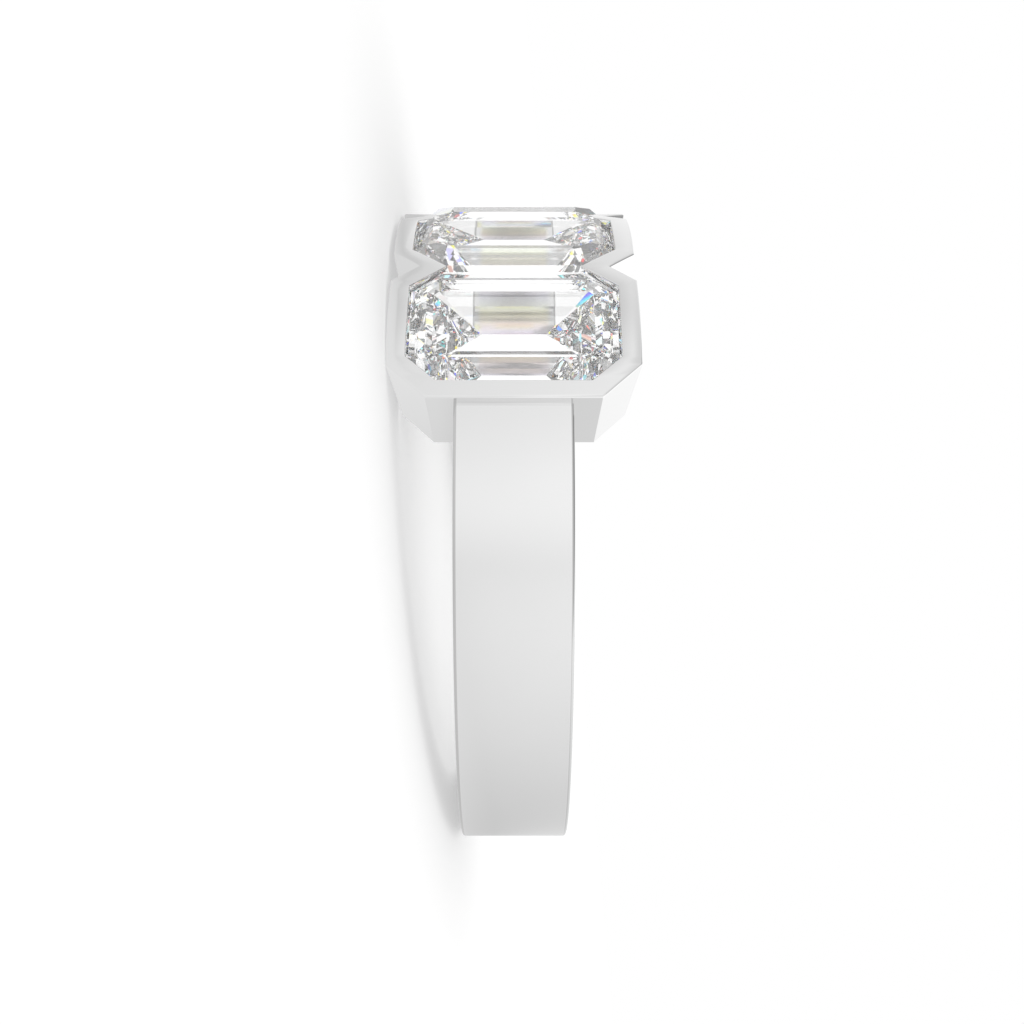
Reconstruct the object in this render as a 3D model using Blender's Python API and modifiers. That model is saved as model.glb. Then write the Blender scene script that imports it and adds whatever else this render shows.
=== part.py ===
"""Three-stone ring with octagonal bezels and step-cut stones.

Units are metres and +Z is up. The ring is first described in its own axes: X runs along the band at the
middle stone, -Y points from the centre of the finger hole to the middle stone, and Z is the axis of the
finger hole. A parent empty then lays it on its side, the way such a ring comes to rest: on the edge of the
shank opposite the stones and on a corner of each side bezel.
"""

import math

import bmesh
import bpy
from mathutils import Matrix, Vector

MM = 0.001

# Shank: a flat band of constant section, 16.9 mm inside
FINGER_RADIUS = 8.45 * MM
SHANK_RADIUS = 10.70 * MM
SHANK_WIDTH = 3.48 * MM
SHANK_EDGE = 0.09 * MM
SHANK_STEPS = 96

# Head: three bezels on one cylinder, 25 degrees apart
BEZEL_ANGLES = {"left": -25.0, "centre": 0.0, "right": 25.0}
RIM_RADIUS = 11.015 * MM
RIM_EDGE = 0.08 * MM
HEAD_BORE_RADIUS = 8.47 * MM
BEZEL_HALF_LENGTH = 3.70 * MM
BEZEL_HALF_WIDTH = 2.75 * MM
BEZEL_CORNER_LENGTH = 1.15 * MM
BEZEL_CORNER_WIDTH = 1.10 * MM
BEZEL_LEVEL = 10.75 * MM
BEZEL_FOOT = 7.80 * MM
BEZEL_TOP = 11.40 * MM
WALL_TAPER = 0.139

# Openings in the rims, and how far each one runs towards its neighbour
OPENING_HALF_LENGTH = 3.142 * MM
OPENING_HALF_WIDTH = 2.18 * MM
OPENING_CORNER_LENGTH = 0.879 * MM
OPENING_CORNER_WIDTH = 0.790 * MM
SHARED_HALF_WIDTH = 2.42 * MM

# Stones: half sizes at the girdle, and each step as (inset, rise) above the girdle or, below it, as
# (inset of the sides and ends, inset of the corners, depth), along the bezel's axis
STONE_HALF_LENGTH = 3.23 * MM
STONE_HALF_WIDTH = 2.27 * MM
GIRDLE_TOP = 10.50 * MM
GIRDLE_FOOT = 10.42 * MM
CROWN_STEPS = ((0.14 * MM, 0.17 * MM), (0.40 * MM, 0.41 * MM), (0.65 * MM, 0.63 * MM))
PAVILION_STEPS = ((0.82 * MM, 0.64 * MM, 0.96 * MM), (1.32 * MM, 1.28 * MM, 1.34 * MM))
KEEL_INSET = 2.27 * MM
KEEL_DEPTH = 1.90 * MM
SEAT_STEP = (0.70 * MM, 0.55 * MM, 0.82 * MM)
SEAT_GAP = 0.04 * MM
LIP_DEPTH = 10.66 * MM
WINDOW_FOOT = 7.60 * MM

# Colours
GOLD_COLOUR = (0.86, 0.86, 0.86, 1.0)
STONE_COLOUR = (0.93, 0.94, 0.95, 1.0)


def clear_scene():
    for obj in list(bpy.data.objects):
        bpy.data.objects.remove(obj, do_unlink=True)
    for mesh in list(bpy.data.meshes):
        bpy.data.meshes.remove(mesh)


def new_collection(name):
    collection = bpy.data.collections.new(name)
    bpy.context.scene.collection.children.link(collection)
    return collection


def new_material(name, colour, metallic, roughness, ior=1.5, transmission=0.0):
    material = bpy.data.materials.new(name)
    material.use_nodes = True
    material.diffuse_color = colour
    shader = material.node_tree.nodes["Principled BSDF"]
    shader.inputs["Base Color"].default_value = colour
    shader.inputs["Metallic"].default_value = metallic
    shader.inputs["Roughness"].default_value = roughness
    shader.inputs["IOR"].default_value = ior
    shader.inputs["Transmission Weight"].default_value = transmission
    return material


def new_object(name, bm, collection, parent, material=None):
    bmesh.ops.recalc_face_normals(bm, faces=bm.faces)
    mesh = bpy.data.meshes.new(name)
    bm.to_mesh(mesh)
    bm.free()
    obj = bpy.data.objects.new(name, mesh)
    collection.objects.link(obj)
    obj.parent = parent
    if material:
        mesh.materials.append(material)
    return obj


def as_cutter(obj):
    obj.hide_render = True
    obj.display_type = "WIRE"
    return obj


def corner_distance(half_length, half_width, corner_length, corner_width):
    """Distance from the middle to the cut-corner side of an octagon, and that side's unit normal."""
    normal = Vector((corner_width, corner_length)).normalized()
    return normal.x * half_length + normal.y * (half_width - corner_width), normal


OPENING_CORNER, CORNER_NORMAL = corner_distance(
    OPENING_HALF_LENGTH, OPENING_HALF_WIDTH, OPENING_CORNER_LENGTH, OPENING_CORNER_WIDTH
)
BEZEL_CORNER, BEZEL_NORMAL = corner_distance(
    BEZEL_HALF_LENGTH, BEZEL_HALF_WIDTH, BEZEL_CORNER_LENGTH, BEZEL_CORNER_WIDTH
)
STONE_CORNER = OPENING_CORNER + STONE_HALF_LENGTH - OPENING_HALF_LENGTH


def octagon(half_length, back, front, corner, normal=CORNER_NORMAL):
    """Corner points (across, along) of an octagon with cut corners. Its long sides may lie at different
    distances from the middle, at -back and at front; along is the direction of the finger hole."""
    points = []
    for side, reach in ((1, front), (-1, back)):
        end = (corner - normal.x * half_length) / normal.y
        edge = (corner - normal.y * reach) / normal.x
        half = [
            (side * end, side * half_length),
            (side * reach, side * edge),
            (side * reach, -side * edge),
            (side * end, -side * half_length),
        ]
        points += half
    return points


def loft(bm, sections):
    """Closed solid through octagons given as (level, points); level is the distance along -Y."""
    rings = []
    for level, points in sections:
        rings.append([bm.verts.new((across, -level, along)) for across, along in points])
    for lower, upper in zip(rings, rings[1:]):
        for i in range(len(lower)):
            j = (i + 1) % len(lower)
            bm.faces.new((lower[i], lower[j], upper[j], upper[i]))
    bm.faces.new(rings[0])
    bm.faces.new(rings[-1])


def turn_to(bm, angle):
    """Turns a shape made at the middle of the head to its place round the finger hole."""
    turn = Matrix.Rotation(math.radians(angle), 4, "Z")
    bmesh.ops.transform(bm, matrix=turn, verts=bm.verts)


def boolean(obj, other, operation):
    modifier = obj.modifiers.new(operation.title() + " " + other.name, "BOOLEAN")
    modifier.operation = operation
    modifier.solver = "EXACT"
    modifier.object = other
    return modifier


def bezel_body(name, angle, collection, parent):
    """Outer shape of one bezel: a tapered octagonal block, longer than it will be when trimmed."""
    bm = bmesh.new()
    sections = []
    for level in (BEZEL_FOOT, BEZEL_TOP):
        inset = (BEZEL_LEVEL - level) * WALL_TAPER
        reach = BEZEL_HALF_WIDTH - inset
        points = octagon(BEZEL_HALF_LENGTH - inset, reach, reach, BEZEL_CORNER - inset, BEZEL_NORMAL)
        sections.append((level, points))
    loft(bm, sections)
    turn_to(bm, angle)
    return as_cutter(new_object(name, bm, collection, parent))


def drum(name, radius, half_height, collection, parent):
    """Cylinder round the finger hole's axis, with its corners at the same angles as the shank's steps."""
    bm = bmesh.new()
    bmesh.ops.create_cone(
        bm,
        cap_ends=True,
        segments=SHANK_STEPS,
        radius1=radius,
        radius2=radius,
        depth=2 * half_height,
    )
    return as_cutter(new_object(name, bm, collection, parent))


def seat_cutter(name, angle, open_back, open_front, collection, parent):
    """Room for one stone: the opening in the rim, the recess for the girdle, the seat under the pavilion's
    first step and, as the back of the stone stays open, a window from there down to the finger hole. On a
    side that a neighbour shares, the wall above the seat goes."""
    opening_back = SHARED_HALF_WIDTH if open_back else OPENING_HALF_WIDTH
    opening_front = SHARED_HALF_WIDTH if open_front else OPENING_HALF_WIDTH
    recess = STONE_HALF_WIDTH + SEAT_GAP
    recess_back = SHARED_HALF_WIDTH if open_back else recess
    recess_front = SHARED_HALF_WIDTH if open_front else recess
    opening = octagon(OPENING_HALF_LENGTH, opening_back, opening_front, OPENING_CORNER)
    pocket = octagon(
        STONE_HALF_LENGTH + SEAT_GAP, recess_back, recess_front, STONE_CORNER + SEAT_GAP
    )
    sections = [
        (BEZEL_TOP + 0.2 * MM, opening),
        (LIP_DEPTH, opening),
        (GIRDLE_TOP + 0.06 * MM, pocket),
        (GIRDLE_FOOT - SEAT_GAP, pocket),
    ]
    inset, corner_inset, depth = SEAT_STEP
    room = 1.4 * SEAT_GAP
    reach = STONE_HALF_WIDTH - inset + room
    window = octagon(
        STONE_HALF_LENGTH - inset + room, reach, reach, STONE_CORNER - corner_inset + room
    )
    sections += [(GIRDLE_FOOT - depth, window), (WINDOW_FOOT, window)]
    bm = bmesh.new()
    loft(bm, sections)
    turn_to(bm, angle)
    return as_cutter(new_object(name, bm, collection, parent))


def shank(name, collection, parent, material):
    """Flat band: its section, with small rounded edges, turned round the finger hole's axis."""
    bm = bmesh.new()
    half = SHANK_WIDTH / 2
    profile = []
    for radius, height, start in (
        (SHANK_RADIUS - SHANK_EDGE, half - SHANK_EDGE, 90),
        (SHANK_RADIUS - SHANK_EDGE, -half + SHANK_EDGE, 0),
        (FINGER_RADIUS + SHANK_EDGE, -half + SHANK_EDGE, -90),
        (FINGER_RADIUS + SHANK_EDGE, half - SHANK_EDGE, -180),
    ):
        for turned in (0, 45, 90):
            angle = math.radians(start - turned)
            profile.append(
                (radius + SHANK_EDGE * math.cos(angle), 0, height + SHANK_EDGE * math.sin(angle))
            )
    verts = [bm.verts.new(point) for point in profile]
    for i, vert in enumerate(verts):
        bm.edges.new((vert, verts[(i + 1) % len(verts)]))
    mesh = bpy.data.meshes.new(name)
    bm.to_mesh(mesh)
    bm.free()
    obj = bpy.data.objects.new(name, mesh)
    collection.objects.link(obj)
    obj.parent = parent
    mesh.materials.append(material)
    screw = obj.modifiers.new("Turn", "SCREW")
    screw.axis = "Z"
    screw.angle = math.radians(360)
    screw.steps = SHANK_STEPS
    screw.render_steps = SHANK_STEPS
    screw.use_merge_vertices = True
    screw.merge_threshold = 0.00001
    return obj


def step_cut_stone(name, angle, collection, parent, material):
    """Emerald-cut stone: table, three crown steps, girdle, three pavilion steps down to a keel."""

    def level_points(inset, corner_inset):
        reach = STONE_HALF_WIDTH - inset
        return octagon(STONE_HALF_LENGTH - inset, reach, reach, STONE_CORNER - corner_inset)

    sections = []
    for inset, rise in reversed(CROWN_STEPS):
        sections.append((GIRDLE_TOP + rise, level_points(inset, inset)))
    sections.append((GIRDLE_TOP, level_points(0, 0)))
    sections.append((GIRDLE_FOOT, level_points(0, 0)))
    for inset, corner_inset, depth in PAVILION_STEPS:
        sections.append((GIRDLE_FOOT - depth, level_points(inset, corner_inset)))
    keel_end = STONE_HALF_LENGTH - KEEL_INSET
    keel = []
    for across, along in level_points(0, 0):
        keel.append((0.0, math.copysign(keel_end, along)))
    bm = bmesh.new()
    rings = []
    for level, points in sections + [(GIRDLE_FOOT - KEEL_DEPTH, keel)]:
        rings.append([bm.verts.new((across, -level, along)) for across, along in points])
    for lower, upper in zip(rings, rings[1:]):
        for i in range(len(lower)):
            j = (i + 1) % len(lower)
            bm.faces.new((lower[i], lower[j], upper[j], upper[i]))
    bm.faces.new(rings[0])
    bmesh.ops.remove_doubles(bm, verts=bm.verts, dist=1e-7)
    turn_to(bm, angle)
    return new_object(name, bm, collection, parent, material)


def bevel_rim(head):
    """Breaks the outer edges of the rims, where they meet the bezels' walls."""
    bm = bmesh.new()
    bm.from_mesh(head.data)
    rim = []
    for edge in bm.edges:
        radii = [math.hypot(vert.co.x, vert.co.y) for vert in edge.verts]
        on_rim = min(radii) > RIM_RADIUS - 0.03 * MM
        if on_rim and len(edge.link_faces) == 2 and edge.calc_face_angle() > math.radians(50):
            rim.append(edge)
    bmesh.ops.bevel(
        bm,
        geom=rim,
        offset=RIM_EDGE,
        offset_type="OFFSET",
        segments=2,
        profile=0.5,
        affect="EDGES",
        clamp_overlap=True,
    )
    bm.to_mesh(head.data)
    bm.free()


def bake(obj):
    """Replaces the object's mesh by the one that its modifiers give."""
    bpy.context.view_layer.update()
    graph = bpy.context.evaluated_depsgraph_get()
    mesh = bpy.data.meshes.new_from_object(obj.evaluated_get(graph), depsgraph=graph)
    obj.modifiers.clear()
    obj.data = mesh


def lay_on_side(frame, objects):
    """Tilts and lifts the ring so that it rests on the shank's far edge and on the two side bezels."""
    points = [vert.co.copy() for obj in objects for vert in obj.data.vertices]
    head = [point for point in points if point.y < 0]
    tail = [point for point in points if point.y > 0]

    def lowest(group, tilt):
        return min(point.y * math.sin(tilt) + point.z * math.cos(tilt) for point in group)

    low, high = -0.3, 0.0
    for _ in range(50):
        tilt = (low + high) / 2
        if lowest(head, tilt) > lowest(tail, tilt):
            low = tilt
        else:
            high = tilt
    turned = [Matrix.Rotation(tilt, 3, "X") @ point for point in points]
    middle = [
        (min(point[axis] for point in turned) + max(point[axis] for point in turned)) / 2
        for axis in (0, 1)
    ]
    frame.rotation_euler = (tilt, 0, 0)
    frame.location = (-middle[0], -middle[1], -lowest(points, tilt))


def build():
    clear_scene()
    parts = new_collection("emerald ring")
    cutters = new_collection("cutters")
    frame = bpy.data.objects.new("rest_pose", None)
    frame.empty_display_size = 0.01
    parts.objects.link(frame)
    gold = new_material("white_gold", GOLD_COLOUR, 1.0, 0.08)
    diamond = new_material("diamond", STONE_COLOUR, 0.0, 0.0, ior=2.42, transmission=1.0)

    bodies = [
        bezel_body("bezel_" + side, angle, cutters, frame) for side, angle in BEZEL_ANGLES.items()
    ]
    head = bodies[1]
    boolean(head, bodies[0], "UNION")
    boolean(head, bodies[2], "UNION")
    reach = BEZEL_HALF_LENGTH + 1 * MM
    boolean(head, drum("rim_drum", RIM_RADIUS, reach, cutters, frame), "INTERSECT")
    boolean(head, drum("bore_drum", HEAD_BORE_RADIUS, reach + 1 * MM, cutters, frame), "DIFFERENCE")
    bake(head)
    bevel_rim(head)

    setting = shank("ring_setting", parts, frame, gold)
    boolean(setting, head, "UNION")
    seats = (
        seat_cutter("seat_left", BEZEL_ANGLES["left"], False, True, cutters, frame),
        seat_cutter("seat_centre", BEZEL_ANGLES["centre"], True, True, cutters, frame),
        seat_cutter("seat_right", BEZEL_ANGLES["right"], True, False, cutters, frame),
    )
    for seat in seats:
        boolean(setting, seat, "DIFFERENCE")
    bake(setting)
    setting.data.shade_smooth()
    setting.data.set_sharp_from_angle(angle=math.radians(20))

    stones = [
        step_cut_stone("stone_" + side, angle, parts, frame, diamond)
        for side, angle in BEZEL_ANGLES.items()
    ]
    lay_on_side(frame, [setting] + stones)


build()
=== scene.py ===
"""Looks of the three-stone emerald-cut ring: polished white metal, clear step-cut stones and a pale studio.

The band and the bezels are modelled here with fine edges and stand for the plain CAD setting. The stones
are the CAD's own, with a clear, highly refracting finish. Sizes are metres. Ring axes: X runs along the
band at the middle stone, -Y points from the middle of the finger hole to that stone, Z is the finger
hole's axis.
"""

import math

import bpy
from mathutils import Matrix, Vector


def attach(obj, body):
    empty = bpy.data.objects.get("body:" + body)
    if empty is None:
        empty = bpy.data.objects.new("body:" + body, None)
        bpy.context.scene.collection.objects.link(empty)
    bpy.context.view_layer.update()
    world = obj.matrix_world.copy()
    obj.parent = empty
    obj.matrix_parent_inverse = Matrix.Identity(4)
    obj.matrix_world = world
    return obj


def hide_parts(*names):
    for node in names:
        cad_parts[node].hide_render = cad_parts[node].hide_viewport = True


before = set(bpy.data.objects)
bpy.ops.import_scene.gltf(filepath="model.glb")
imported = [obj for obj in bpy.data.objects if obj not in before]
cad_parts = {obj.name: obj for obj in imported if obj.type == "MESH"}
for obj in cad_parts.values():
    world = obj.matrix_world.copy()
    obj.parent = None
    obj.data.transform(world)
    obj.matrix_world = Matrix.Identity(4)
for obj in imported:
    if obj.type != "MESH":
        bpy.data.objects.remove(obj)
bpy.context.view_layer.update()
MM = 0.001

bl_info = {
    "name": "Three-stone ring",
    "version": (1, 0, 0),
    "blender": (4, 5, 0),
    "location": "3D View > Sidebar > Ring",
    "description": "Models a three-stone ring's setting, finishes its stones and lights it",
    "category": "Object",
}

# The ring lies on its side: how the ring axes are turned and lifted to the floor
REST_TILT = math.radians(-5.703508)
REST_MIDDLE = Vector((0.0, 0.2602, 2.7858)) * MM
REST = Matrix.Translation(REST_MIDDLE) @ Matrix.Rotation(REST_TILT, 4, "X")

# Each stone, and the angle of its bezel round the finger hole, in degrees
STONE_NODES = ("stone_left", "stone_centre", "stone_right")
BEZEL_TURNS = (-25.0, 0.0, 25.0)

# The setting is modelled a thousand times its size, so that one unit is a millimetre, and then reduced.
# Levels are distances from the finger hole's axis, measured along a bezel's own axis.
BEZEL_LEVEL = 10.75
BEZEL_FOOT = 7.80
BEZEL_TOP = 11.40
LIP_LEVEL = 10.66
SHOULDER_LEVEL = 10.56
SEAT_LEVEL = 10.38
STEP_LEVEL = 9.60
THROAT_FOOT = 9.10
WINDOW_FOOT = 7.60

# How far a stone has drawn in at the foot of its first step below the girdle, at its sides and at its
# corners, and the room that the seat leaves round it there, counted in seat gaps
STEP_INSET = 0.70
STEP_CORNER_INSET = 0.55
STEP_ROOM = 1.4

# How far the parts of a seat overlap, and a step too fine to see that keeps their walls apart
OVERLAP = 0.06
LEDGE = 0.01

# Half the width of a block before it is ground, by how much the drums are longer than the bezels, the flat
# steps round a drum, and the distances below which two corners become one
BLOCK_REACH = 6
DRUM_OVERRUN = 2
DRUM_STEPS = 288
GRIND_MERGE = 0.00001
MERGE = 0.00002

# Which edges are rounded, by how sharp they are and how near the band's side or the rims' cylinder they
# lie, and in how many steps. The last angle is the one below which the shading runs on smoothly.
BAND_SHARP = math.radians(60)
RIM_SHARP = math.radians(50)
NEAR_SIDE = 0.001
NEAR_RIM = 0.01
BAND_EDGE_STEPS = 5
RIM_EDGE_STEPS = 4
SMOOTH_BELOW = math.radians(30)

# Place of the darker finish for fine edges among the setting's finishes. Its darker colour is painted: the
# dark reflection lines along polished edges
PAINTED_SHADE_EDGE_FINISH = 1

# Sockets of a mix of two colours
MIX_FACTOR = 0
MIX_LOW = 6
MIX_HIGH = 7
MIX_RESULT = 2


def length(name, text, millimetres):
    return bpy.props.FloatProperty(
        name=name,
        description=text,
        default=millimetres * MM,
        min=0.0,
        precision=5,
        unit="LENGTH",
        subtype="DISTANCE",
    )


def colour(name, text, rgb):
    return bpy.props.FloatVectorProperty(
        name=name, description=text, default=rgb, size=3, min=0.0, max=1.0, subtype="COLOR"
    )


def share(name, text, default, most=1.0):
    return bpy.props.FloatProperty(
        name=name, description=text, default=default, min=0.0, max=most, subtype="FACTOR"
    )


class RingSizes(bpy.types.PropertyGroup):
    finger: length("Finger hole", "Radius of the finger hole", 8.45)
    band: length("Band outside", "Radius of the band's outer face", 10.70)
    band_width: length("Band width", "Width of the band along the finger", 3.48)
    band_edge: length("Band edge", "Rounding of the band's four edges", 0.09)
    rim: length("Rims", "Radius of the cylinder on which all three rims lie", 11.015)
    rim_edge: length("Rim edge", "Rounding of the rims' outer edges", 0.07)
    lip_edge: length("Lip edge", "Bright cut along each stone's opening", 0.035)
    head_bore: length("Head bore", "Radius to which the head is cut over the finger", 8.47)
    bezel_length: length("Bezel length", "Half length of a bezel along the finger", 3.70)
    bezel_width: length("Bezel width", "Half width of a bezel along the band", 2.75)
    bezel_cut_length: length("Corner cut, long", "Bezel corner cut, along the finger", 1.15)
    bezel_cut_width: length("Corner cut, wide", "Bezel corner cut, along the band", 1.10)
    opening_length: length("Opening length", "Half length of the opening in a rim", 3.142)
    opening_width: length("Opening width", "Half width of the opening in a rim", 2.18)
    opening_cut_length: length("Opening corner, long", "Its corner cut, along the finger", 0.879)
    opening_cut_width: length("Opening corner, wide", "Its corner cut, along the band", 0.790)
    shared_width: length("Shared opening", "Half width of an opening towards a neighbour", 2.42)
    stone_length: length("Stone length", "Half length of a stone at its girdle", 3.23)
    stone_width: length("Stone width", "Half width of a stone at its girdle", 2.27)
    seat_gap: length("Seat gap", "Room left round each stone", 0.04)
    taper: share("Wall taper", "How much a bezel's walls draw in for each unit of depth", 0.139)


class RingFinish(bpy.types.PropertyGroup):
    metal: colour("Metal", "White metal, polished", (0.865, 0.865, 0.865))
    metal_tone: share("Polish tone", "How far the metal's tone drifts over its surface", 0.015)
    metal_roughness: share("Metal roughness", "Roughness of the polish", 0.07)
    # The edges' darker colour is painted reflection: the dark lines that polished edges show
    edge: colour("Edges", "White metal on the fine rounded edges", (0.62, 0.62, 0.62))
    # The seats' darker colour is painted shade inside the seats; their roughness is the satin finish
    seat: colour("Seats", "White metal inside the seats, left unpolished", (0.70, 0.70, 0.70))
    seat_roughness: share("Seat roughness", "Roughness inside the seats", 0.35)
    stone: colour("Stone", "Body colour of the stones", (1.0, 1.0, 1.0))
    stone_index: bpy.props.FloatProperty(
        name="Stone index",
        description="Index of refraction of the stones",
        default=2.42,
        min=1.0,
        max=4.0,
    )


class RingStage(bpy.types.PropertyGroup):
    floor: colour("Floor", "Pale studio floor", (0.9, 0.9, 0.9))
    floor_glow: share("Floor glow", "Light that the floor gives back by itself", 0.15)
    sky: share("Light", "Brightness of the studio all round", 1.0, 4.0)


class Millimetres:
    """The ring's sizes as the modelling uses them."""

    def __init__(self, sizes):
        for name in sizes.__annotations__:
            setattr(self, name, round(getattr(sizes, name) / MM, 5))
        self.taper = sizes.taper


# Modelling by hand: each of these does what its operator does in the viewport


def pick_only(obj):
    bpy.ops.object.select_all(action="DESELECT")
    obj.select_set(True)
    bpy.context.view_layer.objects.active = obj


def place(obj):
    """Applies the object's own place and turn to its mesh."""
    pick_only(obj)
    bpy.ops.object.transform_apply(location=True, rotation=True, scale=True)


def add_block(name, low, high):
    """A block from one corner to the other."""
    bpy.ops.object.select_all(action="DESELECT")
    bpy.ops.mesh.primitive_cube_add(size=1, location=(low + high) / 2)
    block = bpy.context.object
    block.name = name
    block.scale = high - low
    place(block)
    return block


def add_drum(name, radius, depth, steps):
    bpy.ops.object.select_all(action="DESELECT")
    bpy.ops.mesh.primitive_cylinder_add(
        vertices=steps, radius=radius, depth=depth, location=(0, 0, 0), rotation=(0, 0, 0)
    )
    drum = bpy.context.object
    drum.name = name
    return drum


def grind(obj, point, normal):
    """Grinds away all of the block outside one plane and closes the cut."""
    pick_only(obj)
    bpy.ops.object.mode_set(mode="EDIT")
    bpy.ops.mesh.select_all(action="SELECT")
    bpy.ops.mesh.bisect(
        plane_co=point,
        plane_no=normal,
        use_fill=True,
        clear_outer=True,
        threshold=GRIND_MERGE,
    )
    leave_edit()


def choose(obj, faces=None, edges=None):
    """Enters edit mode with some faces or edges selected. For faces it takes a test of one face, and for
    edges a function that gives their numbers for the mesh."""
    pick_only(obj)
    bpy.ops.object.mode_set(mode="EDIT")
    bpy.ops.mesh.select_mode(type="FACE" if faces else "EDGE")
    bpy.ops.mesh.select_all(action="DESELECT")
    leave_edit()
    mesh = obj.data
    if faces:
        for face in mesh.polygons:
            face.select = faces(face)
        found = sum(face.select for face in mesh.polygons)
    else:
        chosen = edges(mesh)
        for edge in mesh.edges:
            edge.select = edge.index in chosen
        found = len(chosen)
    if not found:
        raise RuntimeError(obj.name + ": nothing there to shape")
    bpy.ops.object.mode_set(mode="EDIT")


def leave_edit():
    bpy.ops.object.mode_set(mode="OBJECT")


def cut(obj, tool, operation):
    """Boolean of the two, applied. The tool is used up."""
    pick_only(obj)
    step = obj.modifiers.new(operation.title(), "BOOLEAN")
    step.operation = operation
    step.solver = "MANIFOLD"
    step.material_mode = "TRANSFER"
    step.object = tool
    bpy.ops.object.modifier_apply(modifier=step.name)
    mesh = tool.data
    bpy.data.objects.remove(tool, do_unlink=True)
    bpy.data.meshes.remove(mesh)


def sharp_edges(mesh, least, test):
    """Numbers of the edges whose two faces meet at this angle or more and whose ends pass the test."""
    facing = {}
    for face in mesh.polygons:
        for key in face.edge_keys:
            facing.setdefault(key, []).append(face.normal)
    number = {edge.key: edge.index for edge in mesh.edges}
    chosen = set()
    for key, normals in facing.items():
        if len(normals) != 2 or normals[0].angle(normals[1], 0.0) < least:
            continue
        if all(test(mesh.vertices[i].co) for i in key):
            chosen.add(number[key])
    return chosen


def face_outwards(obj):
    pick_only(obj)
    bpy.ops.object.mode_set(mode="EDIT")
    bpy.ops.mesh.select_all(action="SELECT")
    bpy.ops.mesh.remove_doubles(threshold=MERGE)
    bpy.ops.mesh.normals_make_consistent(inside=False)
    leave_edit()


# The octagonal outline that bezels, openings and stones share


class Outline:
    """Distances of an octagon's eight sides from its middle: along the band backwards and forwards, along
    the finger both ways alike, and to the four cut corners."""

    def __init__(self, long, back, front, corner, normal):
        self.long = long
        self.back = back
        self.front = front
        self.corner = corner
        self.normal = normal

    def inset(self, by, corner_by=None):
        if corner_by is None:
            corner_by = by
        return Outline(
            self.long - by, self.back - by, self.front - by, self.corner - corner_by, self.normal
        )

    def sides(self):
        """(x, z) of each side's outward normal and its distance."""
        x, z = self.normal
        return (
            (0.0, 1.0, self.long),
            (0.0, -1.0, self.long),
            (-1.0, 0.0, self.back),
            (1.0, 0.0, self.front),
            (x, z, self.corner),
            (-x, z, self.corner),
            (x, -z, self.corner),
            (-x, -z, self.corner),
        )


def cut_corner(long, wide, cut_long, cut_wide):
    """Distance and (x, z) normal of a cut corner."""
    size = math.hypot(cut_long, cut_wide)
    normal = (cut_long / size, cut_wide / size)
    return normal[0] * wide + normal[1] * (long - cut_long), normal


def grind_sides(obj, low, inner, high, outer):
    """Grinds eight sides that pass through one outline at the low level and the other at the high one."""
    for (x, z, near), (_, _, far) in zip(inner.sides(), outer.sides()):
        slope = (far - near) / (high - low)
        grind(obj, (x * near, -low, z * near), Vector((x, slope, z)).normalized())


def octagonal_block(name, low, high, walls):
    """A block between two levels, ground to each of its walls: (level, outline, level, outline)."""
    low_corner = Vector((-BLOCK_REACH, -high, -BLOCK_REACH))
    high_corner = Vector((BLOCK_REACH, -low, BLOCK_REACH))
    block = add_block(name, low_corner, high_corner)
    for wall in walls:
        grind_sides(block, *wall)
    return block


def model_band(sizes, polished, edges):
    """The flat band: a drum whose two ends are inset and bridged for the finger hole, with four rounded
    edges."""
    band = add_drum("setting", sizes.band, sizes.band_width, DRUM_STEPS)
    band.data.materials.append(polished)
    band.data.materials.append(edges)
    choose(band, faces=lambda face: abs(face.normal.z) > 0.9)
    bpy.ops.mesh.inset(thickness=sizes.band - sizes.finger)
    bpy.ops.mesh.bridge_edge_loops()
    leave_edit()
    half = sizes.band_width / 2
    choose(
        band,
        edges=lambda mesh: sharp_edges(
            mesh, BAND_SHARP, lambda point: abs(abs(point.z) - half) < NEAR_SIDE
        ),
    )
    # The band's rounded edges take the darker finish: painted dark reflection lines
    bpy.ops.mesh.bevel(
        offset=sizes.band_edge,
        offset_type="OFFSET",
        segments=BAND_EDGE_STEPS,
        profile=0.5,
        affect="EDGES",
        material=PAINTED_SHADE_EDGE_FINISH,
    )
    leave_edit()
    return band


def bezel_outline(sizes):
    corner, normal = cut_corner(
        sizes.bezel_length, sizes.bezel_width, sizes.bezel_cut_length, sizes.bezel_cut_width
    )
    return Outline(sizes.bezel_length, sizes.bezel_width, sizes.bezel_width, corner, normal)


def on_cut_corner(point, sizes):
    """Whether a point lies on the rims' outer edge at one of the bezels' cut corners."""
    if math.hypot(point.x, point.y) < sizes.rim - sizes.rim_edge - LEDGE:
        return False
    for turn in BEZEL_TURNS:
        local = Matrix.Rotation(-math.radians(turn), 3, "Z") @ point
        past_wide = abs(local.x) - sizes.bezel_width + sizes.bezel_cut_width
        past_long = abs(local.z) - sizes.bezel_length + sizes.bezel_cut_length
        if 0 < past_wide < sizes.bezel_cut_width and 0 < past_long < sizes.bezel_cut_length:
            return True
    return False


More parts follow.
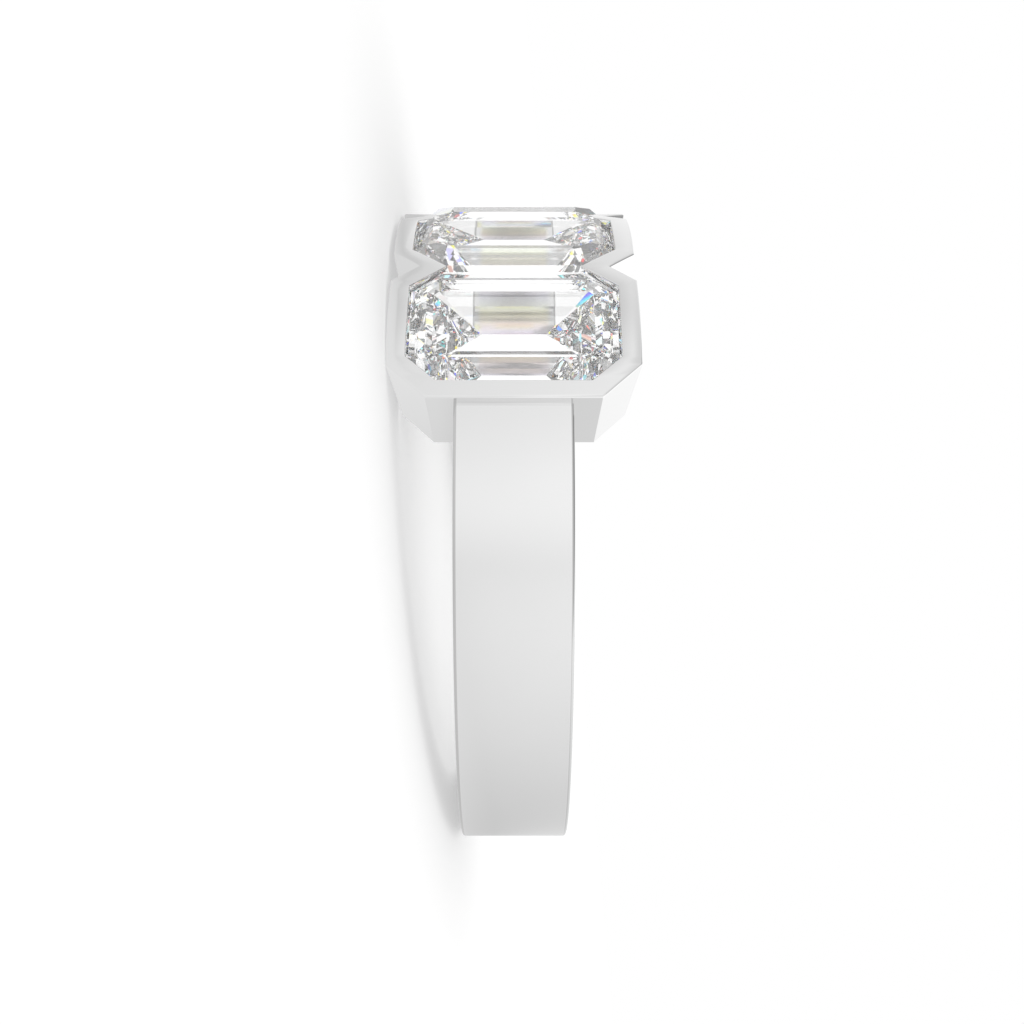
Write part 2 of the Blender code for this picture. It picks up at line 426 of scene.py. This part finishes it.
def model_head(sizes, polished, edges):
    """Three tapered octagonal bezels, trimmed to one cylinder above and to the finger hole below."""
    outline = bezel_outline(sizes)
    foot = outline.inset((BEZEL_LEVEL - BEZEL_FOOT) * sizes.taper)
    top = outline.inset((BEZEL_LEVEL - BEZEL_TOP) * sizes.taper)
    head = None
    for number, turn in enumerate(BEZEL_TURNS):
        bezel = octagonal_block(
            "bezel_" + str(number),
            BEZEL_FOOT,
            BEZEL_TOP,
            [(BEZEL_FOOT, foot, BEZEL_TOP, top)],
        )
        bezel.rotation_euler.z = math.radians(turn)
        place(bezel)
        if head:
            cut(head, bezel, "UNION")
        else:
            head = bezel
    reach = 2 * sizes.bezel_length + DRUM_OVERRUN
    cut(head, add_drum("rim_drum", sizes.rim, reach, DRUM_STEPS), "INTERSECT")
    cut(head, add_drum("bore_drum", sizes.head_bore, 2 * reach, DRUM_STEPS), "DIFFERENCE")
    face_outwards(head)
    head.data.materials.append(polished)
    head.data.materials.append(edges)
    round_rim(head, sizes.rim, sizes.rim_edge)
    # The rims' rounded edges at the cut corners take the darker finish: painted dark reflection lines
    choose(head, faces=lambda face: on_cut_corner(face.center, sizes))
    head.active_material_index = PAINTED_SHADE_EDGE_FINISH
    bpy.ops.object.material_slot_assign()
    leave_edit()
    return head


def round_rim(obj, radius, size):
    """Rounds the sharp edges that lie on the rims' cylinder."""
    choose(
        obj,
        edges=lambda mesh: sharp_edges(
            mesh, RIM_SHARP, lambda point: math.hypot(point.x, point.y) > radius - NEAR_RIM
        ),
    )
    bpy.ops.mesh.bevel(
        offset=size,
        offset_type="OFFSET",
        segments=RIM_EDGE_STEPS,
        profile=0.5,
        affect="EDGES",
        clamp_overlap=True,
    )
    leave_edit()


def cut_seat(setting, sizes, turn, open_back, open_front, polished, satin_and_shade):
    """Room for one stone: the opening in the rim, the recess round the girdle, the funnel round the
    pavilion's first step, and the throat and the window down to the finger hole, as the stone's back stays
    open. The opening and the throat are polished, and the rest is left rough and darker in colour, which
    is painted shade inside the seat."""
    corner, normal = cut_corner(
        sizes.opening_length,
        sizes.opening_width,
        sizes.opening_cut_length,
        sizes.opening_cut_width,
    )
    shared = sizes.shared_width
    back = shared if open_back else sizes.opening_width
    front = shared if open_front else sizes.opening_width
    opening = Outline(sizes.opening_length, back, front, corner, normal)
    stone_corner = corner + sizes.stone_length - sizes.opening_length
    recess = Outline(
        sizes.stone_length + sizes.seat_gap,
        back - LEDGE if open_back else sizes.stone_width + sizes.seat_gap,
        front - LEDGE if open_front else sizes.stone_width + sizes.seat_gap,
        stone_corner + sizes.seat_gap,
        normal,
    )
    stone = Outline(
        sizes.stone_length, sizes.stone_width, sizes.stone_width, stone_corner, normal
    )
    room = STEP_ROOM * sizes.seat_gap
    window = stone.inset(STEP_INSET - room, STEP_CORNER_INSET - room)
    throat = window.inset(LEDGE)
    foot = window.inset(2 * LEDGE)
    parts = (
        octagonal_block(
            "opening",
            LIP_LEVEL - OVERLAP,
            BEZEL_TOP,
            [(LIP_LEVEL, opening, BEZEL_TOP, opening)],
        ),
        octagonal_block(
            "recess",
            SEAT_LEVEL,
            LIP_LEVEL + OVERLAP / 2,
            [
                (SEAT_LEVEL, recess, LIP_LEVEL, recess),
                (SHOULDER_LEVEL, recess, LIP_LEVEL, opening),
            ],
        ),
        octagonal_block(
            "funnel",
            STEP_LEVEL,
            SEAT_LEVEL + OVERLAP / 2,
            [(STEP_LEVEL, window, SEAT_LEVEL, recess.inset(LEDGE))],
        ),
        octagonal_block(
            "throat",
            THROAT_FOOT,
            STEP_LEVEL + OVERLAP,
            [(THROAT_FOOT, throat, STEP_LEVEL, throat)],
        ),
        octagonal_block(
            "window",
            WINDOW_FOOT,
            THROAT_FOOT + OVERLAP,
            [(WINDOW_FOOT, foot, STEP_LEVEL, foot)],
        ),
    )
    for part, finish in zip(parts, (polished, satin_and_shade, satin_and_shade, polished, satin_and_shade)):
        part.data.materials.append(finish)
        part.rotation_euler.z = math.radians(turn)
        place(part)
        cut(setting, part, "DIFFERENCE")


def finish_shading(obj):
    """Smooth over the rounded edges, with the flat faces kept flat."""
    pick_only(obj)
    bpy.ops.object.shade_smooth_by_angle(angle=SMOOTH_BELOW, keep_sharp_edges=False)
    step = obj.modifiers.new("Flat faces", "WEIGHTED_NORMAL")
    step.mode = "FACE_AREA"
    step.weight = 100
    step.keep_sharp = True
    bpy.ops.object.modifier_apply(modifier=step.name)


# Finishes


class Value:
    """A shader socket that takes part in arithmetic."""

    def __init__(self, finish, socket):
        self.finish = finish
        self.socket = socket

    def _with(self, operation, *others):
        return self.finish.node(
            "ShaderNodeMath", {"operation": operation}, dict(enumerate((self, *others)))
        )

    def __add__(self, other):
        return self._with("ADD", other)

    def __mul__(self, other):
        return self._with("MULTIPLY", other)

    def __sub__(self, other):
        return self._with("SUBTRACT", other)

    def __rsub__(self, other):
        return self.finish.node(
            "ShaderNodeMath", {"operation": "SUBTRACT"}, {0: other, 1: self}
        )

    def __truediv__(self, other):
        return self._with("DIVIDE", other)

    def __abs__(self):
        return self._with("ABSOLUTE")

    def sine(self):
        return self._with("SINE")

    def at_least(self, other):
        return self._with("MAXIMUM", other)


class Finish:
    """A node tree that is written as expressions."""

    def __init__(self, tree):
        self.tree = tree
        self.tree.nodes.clear()

    def node(self, kind, settings=None, inputs=None, output=0):
        made = self.tree.nodes.new(kind)
        for name, value in (settings or {}).items():
            setattr(made, name, value)
        for name, value in (inputs or {}).items():
            if isinstance(value, Value):
                self.tree.links.new(value.socket, made.inputs[name])
            else:
                made.inputs[name].default_value = value
        return Value(self, made.outputs[output]) if made.outputs else made

    def along(self, vector, axis):
        """How far a vector goes along a fixed axis."""
        return self.node(
            "ShaderNodeVectorMath",
            {"operation": "DOT_PRODUCT"},
            {0: vector, 1: axis},
            output="Value",
        )

    def between(self, factor, low, high):
        """Colour between two."""
        return self.node(
            "ShaderNodeMix",
            {"data_type": "RGBA"},
            {MIX_FACTOR: factor, MIX_LOW: (*low, 1.0), MIX_HIGH: (*high, 1.0)},
            output=MIX_RESULT,
        )

    def step(self, value, low, high):
        """0 below the low end, 1 above the high end, smooth between."""
        return self.node(
            "ShaderNodeMapRange",
            {"interpolation_type": "SMOOTHSTEP"},
            {"Value": value, "From Min": low, "From Max": high},
        )


def new_finish(name):
    material = bpy.data.materials.new(name)
    material.use_nodes = True
    return material, Finish(material.node_tree)


def close_finish(finish, shader):
    finish.node("ShaderNodeOutputMaterial", None, {"Surface": shader})


# How many clouds and buffing lines go into a metre of metal, how high the lines stand and how strongly
# they show, and how much the clouds and the lines change the roughness
CLOUD_SCALE = 420.0
BUFFING_SCALE = (900.0, 900.0, 26000.0)
BUFFING_HEIGHT = 0.000004
BUFFING_STRENGTH = 0.04
CLOUD_ROUGHNESS = 0.04
BUFFING_ROUGHNESS = 0.02


def white_metal(name, tone, roughness, drift):
    """White metal whose polish and tone drift a little over its surface, with fine buffing lines."""
    material, finish = new_finish(name)
    place_on = finish.node("ShaderNodeTexCoord", output="Object")
    cloud = finish.node(
        "ShaderNodeTexNoise",
        None,
        {"Vector": place_on, "Scale": CLOUD_SCALE, "Detail": 3.0, "Roughness": 0.55},
    )
    turned = finish.node(
        "ShaderNodeMapping",
        None,
        {"Vector": place_on, "Rotation": (-REST_TILT, 0, 0), "Scale": BUFFING_SCALE},
    )
    buffing = finish.node(
        "ShaderNodeTexNoise", None, {"Vector": turned, "Scale": 1.0, "Detail": 2.0}
    )
    tone = tuple(tone)
    dimmer = tuple(part * (1 - 2 * drift) for part in tone)
    bump = finish.node(
        "ShaderNodeBump",
        None,
        {"Strength": BUFFING_STRENGTH, "Distance": BUFFING_HEIGHT, "Height": buffing},
    )
    cloudy = (cloud - 0.5) * CLOUD_ROUGHNESS
    buffed = (buffing - 0.5) * BUFFING_ROUGHNESS
    shader = finish.node(
        "ShaderNodeBsdfPrincipled",
        None,
        {
            "Base Color": finish.between(cloud, dimmer, tone),
            "Metallic": 1.0,
            "Roughness": cloudy + buffed + roughness,
            "Normal": bump,
        },
    )
    close_finish(finish, shader)
    return material


# The faint colour bands painted on the facets beside a stone's keel, painted fire in place of dispersion,
# in
# millimetres: the level below which those facets lie, the width over which the colours run once and how far
# along the stone they reach. Then for red, green and blue where in that width the colour fades, and how
# much.
KEEL_FACETS_LEVEL = 9.46
PAINTED_RAINBOW_WIDTH = 1.40
PAINTED_RAINBOW_REACH = (0.95, 1.15)
PAINTED_RAINBOW = ((0.75, 0.17), (0.60, 0.30), (0.35, 0.52))

# A hardly visible drift in a stone's colour: how many of its clouds go into a metre and its darkest tone
TRACE_SCALE = 700.0
TRACE_TONE = 0.995


def clear_stone(look, name, turn):
    """Clear stone with a high index. The facets beside its keel carry faint bands of colour painted into
    the stone's colour: painted fire, standing in for the fire that the middle of such a stone shows."""
    material, finish = new_finish("clear_" + name)
    place_on = finish.node("ShaderNodeTexCoord", output="Object")
    turned = REST.to_3x3() @ Matrix.Rotation(math.radians(turn), 3, "Z")
    across = turned @ Vector((1, 0, 0))
    outwards = turned @ Vector((0, -1, 0))
    lengthways = turned @ Vector((0, 0, 1))
    wide = finish.along(place_on, across) - REST_MIDDLE.dot(across)
    width = wide / (PAINTED_RAINBOW_WIDTH * MM)
    level = finish.along(place_on, outwards) - REST_MIDDLE.dot(outwards)
    keel = 1 - finish.step(
        level, (KEEL_FACETS_LEVEL - LEDGE) * MM, (KEEL_FACETS_LEVEL + LEDGE) * MM
    )
    long = abs(finish.along(place_on, lengthways) - REST_MIDDLE.dot(lengthways))
    middle = 1 - finish.step(long, PAINTED_RAINBOW_REACH[0] * MM, PAINTED_RAINBOW_REACH[1] * MM)
    # Painted fire: red, green and blue fade in turn across the keel facets
    fades = [
        1 - (((width - start) * math.tau).sine() + 1) * (0.5 * depth) * keel * middle
        for start, depth in PAINTED_RAINBOW
    ]
    painted_rainbow = finish.node("ShaderNodeCombineColor", None, dict(enumerate(fades)))
    trace = finish.node(
        "ShaderNodeTexNoise", None, {"Vector": place_on, "Scale": TRACE_SCALE, "Detail": 2.0}
    )
    tone = tuple(look.stone)
    body = finish.between(trace, tone, tuple(TRACE_TONE * part for part in tone))
    tinted = finish.node(
        "ShaderNodeMix",
        {"data_type": "RGBA", "blend_type": "MULTIPLY"},
        {MIX_FACTOR: 1.0, MIX_LOW: body, MIX_HIGH: painted_rainbow},
        output=MIX_RESULT,
    )
    shader = finish.node(
        "ShaderNodeBsdfPrincipled",
        None,
        {
            "Base Color": tinted,
            "Metallic": 0.0,
            "Roughness": 0.0,
            "IOR": look.stone_index,
            "Transmission Weight": 1.0,
        },
    )
    close_finish(finish, shader)
    return material


# The studio as polished metal shows it, with directions in ring axes: even and bright, brighter towards
# the two ends of the row of stones, with one soft lamp over the camera and a lift that grows the more a
# direction points up. On the stones' side of the ring, the lamp and most of the lift fade in directions
# that point up, and a shade lies straight along the finger hole. That shade is in the world and not in the
# floor, and it darkens the lines along the edges.
TONE_LOW = 0.71
TONE_SIDES = 0.21
LAMP_PLACE = (0.42, -0.91, 0.0)
LAMP_EDGE = 0.643
LAMP_CORE = 0.985
LAMP_TONE = 0.19
TONE_UP = 0.60
TONE_DOWN = -0.06
TONE_END = (0.70, 0.90)
TONE_END_SHADE = 0.55
TONE_BACK = (0.05, 0.30)
TONE_HIGH = (0.08, 0.26)
TONE_HIGH_SHARE = 0.2

# Point from which the floor's directions are measured, in metres
RING_MIDDLE = (0.0, 0.0, 0.004)

# The studio as the stones show it: how closely the dark screens follow each other across the ring and
# along the finger hole, where the pattern starts, how soft its edges are, the tones of the screens and of
# the gaps between them, where towards the ends the screens set in, where behind the ring they stop, the
# clear light elsewhere, and how far red, green and blue lie apart
SCREEN_ACROSS = 6.7
SCREEN_ALONG = 8.6
SCREEN_START = (3.69, 4.58)
SCREEN_EDGE = 0.05
SCREEN_DARK = 0.15
SCREEN_LIGHT = 1.22
SCREEN_FROM = (0.066, 0.30)
SCREEN_BACK = (0.2, 0.5)
CLEAR_LIGHT = 1.25
FIRE = 0.12


def studio_tone(finish, towards, end_shade):
    """Light that comes from a direction, given as a unit vector in world axes."""
    turn = REST.to_3x3()
    side = finish.along(towards, turn @ Vector((1, 0, 0)))
    up = finish.along(towards, turn @ Vector((0, 0, 1)))
    lamp = finish.step(
        finish.along(towards, turn @ Vector(LAMP_PLACE)), LAMP_EDGE, LAMP_CORE
    )
    front = 1 - finish.step(finish.along(towards, turn @ Vector((0, 1, 0))), *TONE_BACK)
    high = front * finish.step(up, *TONE_HIGH)
    lift = (up * TONE_UP).at_least(TONE_DOWN) * (1 - high * (1 - TONE_HIGH_SHARE))
    tone = side * side * TONE_SIDES + lamp * (1 - high) * LAMP_TONE + lift + TONE_LOW
    return tone * (1 - finish.step(abs(up), *TONE_END) * front * end_shade)


def screened_tone(finish, towards, shift):
    """Light that reaches the facets from a direction: clear along the stones' width, broken up by dark
    screens towards their ends."""
    turn = REST.to_3x3()
    side = finish.along(towards, turn @ Vector((1, 0, 0)))
    up = abs(finish.along(towards, turn @ Vector((0, 0, 1))))
    screens = (side * SCREEN_ACROSS + (SCREEN_START[0] + shift)).sine() * (
        up * SCREEN_ALONG + (SCREEN_START[1] + shift)
    ).sine()
    cells = finish.step(screens, -SCREEN_EDGE, SCREEN_EDGE)
    ends = finish.step(up, *SCREEN_FROM)
    broken = cells * (SCREEN_LIGHT - SCREEN_DARK) + SCREEN_DARK
    over = ends * (broken - CLEAR_LIGHT) + CLEAR_LIGHT
    behind = finish.step(finish.along(towards, turn @ Vector((0, 1, 0))), *SCREEN_BACK)
    return behind * (1 - over) + over


def studio_shader(finish, kind, towards, plain_shader, level, end_shade):
    """The plain shader to most rays, the even studio to polished metal and the screened one to stones."""
    tone = studio_tone(finish, towards, end_shade)
    even = finish.node("ShaderNodeCombineColor", None, {0: tone, 1: tone, 2: tone})
    spread = finish.node(
        "ShaderNodeCombineColor",
        None,
        {
            0: screened_tone(finish, towards, -FIRE),
            1: screened_tone(finish, towards, 0.0),
            2: screened_tone(finish, towards, FIRE),
        },
    )
    shader = plain_shader
    for ray, light in (("Is Glossy Ray", even), ("Is Transmission Ray", spread)):
        lit = finish.node(kind, None, {"Color": light, "Strength": level})
        mask = finish.node("ShaderNodeLightPath", output=ray)
        shader = finish.node("ShaderNodeMixShader", None, {0: mask, 1: shader, 2: lit})
    return shader


def studio_light(stage):
    """White all round, except in what polished faces and facets show."""
    world = bpy.data.worlds.new("studio")
    world.use_nodes = True
    finish = Finish(world.node_tree)
    towards = finish.node("ShaderNodeTexCoord", output="Generated")
    plain_light = finish.node(
        "ShaderNodeBackground", None, {"Color": (1.0, 1.0, 1.0, 1.0), "Strength": stage.sky}
    )
    shader = studio_shader(
        finish, "ShaderNodeBackground", towards, plain_light, stage.sky, TONE_END_SHADE
    )
    finish.node("ShaderNodeOutputWorld", None, {"Surface": shader})
    bpy.context.scene.world = world


FLOOR_RADIUS = 0.4
FLOOR_CORNERS = 96


def pale_floor(stage):
    bpy.ops.object.select_all(action="DESELECT")
    bpy.ops.mesh.primitive_circle_add(
        vertices=FLOOR_CORNERS, radius=FLOOR_RADIUS, fill_type="NGON"
    )
    floor = bpy.context.object
    floor.name = "floor"
    material, finish = new_finish("pale_floor")
    towards = finish.node(
        "ShaderNodeVectorMath",
        {"operation": "SUBTRACT"},
        {0: finish.node("ShaderNodeTexCoord", output="Object"), 1: RING_MIDDLE},
    )
    towards = finish.node("ShaderNodeVectorMath", {"operation": "NORMALIZE"}, {0: towards})
    shader = finish.node(
        "ShaderNodeBsdfPrincipled",
        None,
        {
            "Base Color": (*stage.floor, 1.0),
            "Roughness": 1.0,
            "Specular IOR Level": 0.0,
            "Emission Color": (1.0, 1.0, 1.0, 1.0),
            "Emission Strength": stage.floor_glow,
        },
    )
    shader = studio_shader(finish, "ShaderNodeEmission", towards, shader, stage.sky, 0.0)
    close_finish(finish, shader)
    floor.data.materials.append(material)


# Camera: beside the band, level with its width, looking across the finger hole's axis. Its place is the
# photo's, solved in half lengths of a bezel: to the left, up and back from the middle of the ring.
CAMERA_TURN = math.radians(59.946)
CAMERA_YAW = math.radians(0.11)
CAMERA_UNIT = 3.7
CAMERA_PLACE = Vector((-0.0067, 0.162, 13.7409)) * CAMERA_UNIT * MM
CAMERA_LENS = 50.0
CAMERA_SENSOR = 36.0
CAMERA_NEAR = 0.001
CAMERA_FAR = 10.0


def photo_camera():
    back = Vector((math.sin(CAMERA_TURN), -math.cos(CAMERA_TURN), 0))
    up = Vector((-math.cos(CAMERA_TURN), -math.sin(CAMERA_TURN), 0))
    right = Vector((0, 0, 1))
    stand = -CAMERA_PLACE.x * right + CAMERA_PLACE.y * up + CAMERA_PLACE.z * back
    turned_right = math.cos(CAMERA_YAW) * right - math.sin(CAMERA_YAW) * back
    turned_back = math.sin(CAMERA_YAW) * right + math.cos(CAMERA_YAW) * back
    pose = Matrix((turned_right, up, turned_back)).transposed().to_4x4()
    pose.translation = stand
    bpy.ops.object.select_all(action="DESELECT")
    bpy.ops.object.camera_add()
    camera = bpy.context.object
    camera.name = "camera"
    camera.matrix_world = REST @ pose
    camera.data.lens = CAMERA_LENS
    camera.data.sensor_width = CAMERA_SENSOR
    camera.data.clip_start = CAMERA_NEAR
    camera.data.clip_end = CAMERA_FAR
    bpy.context.scene.camera = camera


class RING_OT_setting(bpy.types.Operator):
    """Models the band and the three bezels as one solid and cuts a seat for each stone"""

    bl_idname = "ring.setting"
    bl_label = "Band and bezels"

    def execute(self, context):
        sizes = Millimetres(context.scene.ring_sizes)
        look = context.scene.ring_finish
        polished = white_metal("white_metal", look.metal, look.metal_roughness, look.metal_tone)
        # Seats: rough finish, darker in colour as painted shade
        satin_and_shade = white_metal("seat_metal_and_shade", look.seat, look.seat_roughness, look.metal_tone)
        # Fine edges in a darker colour: painted dark reflection lines
        edges = white_metal("edge_metal_painted_shade", look.edge, look.metal_roughness, look.metal_tone)
        setting = model_band(sizes, polished, edges)
        cut(setting, model_head(sizes, polished, edges), "UNION")
        last = len(BEZEL_TURNS) - 1
        for number, turn in enumerate(BEZEL_TURNS):
            cut_seat(setting, sizes, turn, number > 0, number < last, polished, satin_and_shade)
        face_outwards(setting)
        round_rim(setting, sizes.rim, sizes.lip_edge)
        setting.matrix_world = REST @ Matrix.Scale(MM, 4)
        place(setting)
        finish_shading(setting)
        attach(setting, "root")
        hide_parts("ring_setting")
        return {"FINISHED"}


class RING_OT_stones(bpy.types.Operator):
    """Gives the three step-cut stones their clear finish"""

    bl_idname = "ring.stones"
    bl_label = "Stones"

    def execute(self, context):
        for name, turn in zip(STONE_NODES, BEZEL_TURNS):
            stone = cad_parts[name]
            stone.data.materials.clear()
            stone.data.materials.append(clear_stone(context.scene.ring_finish, name, turn))
        return {"FINISHED"}


class RING_OT_stage(bpy.types.Operator):
    """Sets the pale floor, the soft studio light and the camera"""

    bl_idname = "ring.stage"
    bl_label = "Floor, light and camera"

    def execute(self, context):
        stage = context.scene.ring_stage
        pale_floor(stage)
        studio_light(stage)
        photo_camera()
        scene = context.scene
        scene.view_settings.view_transform = "Standard"
        scene.cycles.max_bounces = 48
        scene.cycles.transmission_bounces = 32
        scene.cycles.glossy_bounces = 32
        scene.cycles.sample_clamp_indirect = 10.0
        return {"FINISHED"}


class RING_PT_panel(bpy.types.Panel):
    bl_label = "Three-stone ring"
    bl_idname = "RING_PT_panel"
    bl_space_type = "VIEW_3D"
    bl_region_type = "UI"
    bl_category = "Ring"

    def draw(self, context):
        layout = self.layout
        scene = context.scene
        for group in (scene.ring_sizes, scene.ring_finish, scene.ring_stage):
            box = layout.box()
            for name in group.__annotations__:
                box.prop(group, name)
        for step in STEPS:
            layout.operator(step.bl_idname)


STEPS = (RING_OT_setting, RING_OT_stones, RING_OT_stage)
CLASSES = (RingSizes, RingFinish, RingStage, *STEPS, RING_PT_panel)


def register():
    for one in CLASSES:
        bpy.utils.register_class(one)
    bpy.types.Scene.ring_sizes = bpy.props.PointerProperty(type=RingSizes)
    bpy.types.Scene.ring_finish = bpy.props.PointerProperty(type=RingFinish)
    bpy.types.Scene.ring_stage = bpy.props.PointerProperty(type=RingStage)


def unregister():
    del bpy.types.Scene.ring_stage
    del bpy.types.Scene.ring_finish
    del bpy.types.Scene.ring_sizes
    for one in reversed(CLASSES):
        bpy.utils.unregister_class(one)


def main():
    register()
    bpy.ops.ring.setting()
    bpy.ops.ring.stones()
    bpy.ops.ring.stage()


if __name__ == "__main__":
    main()
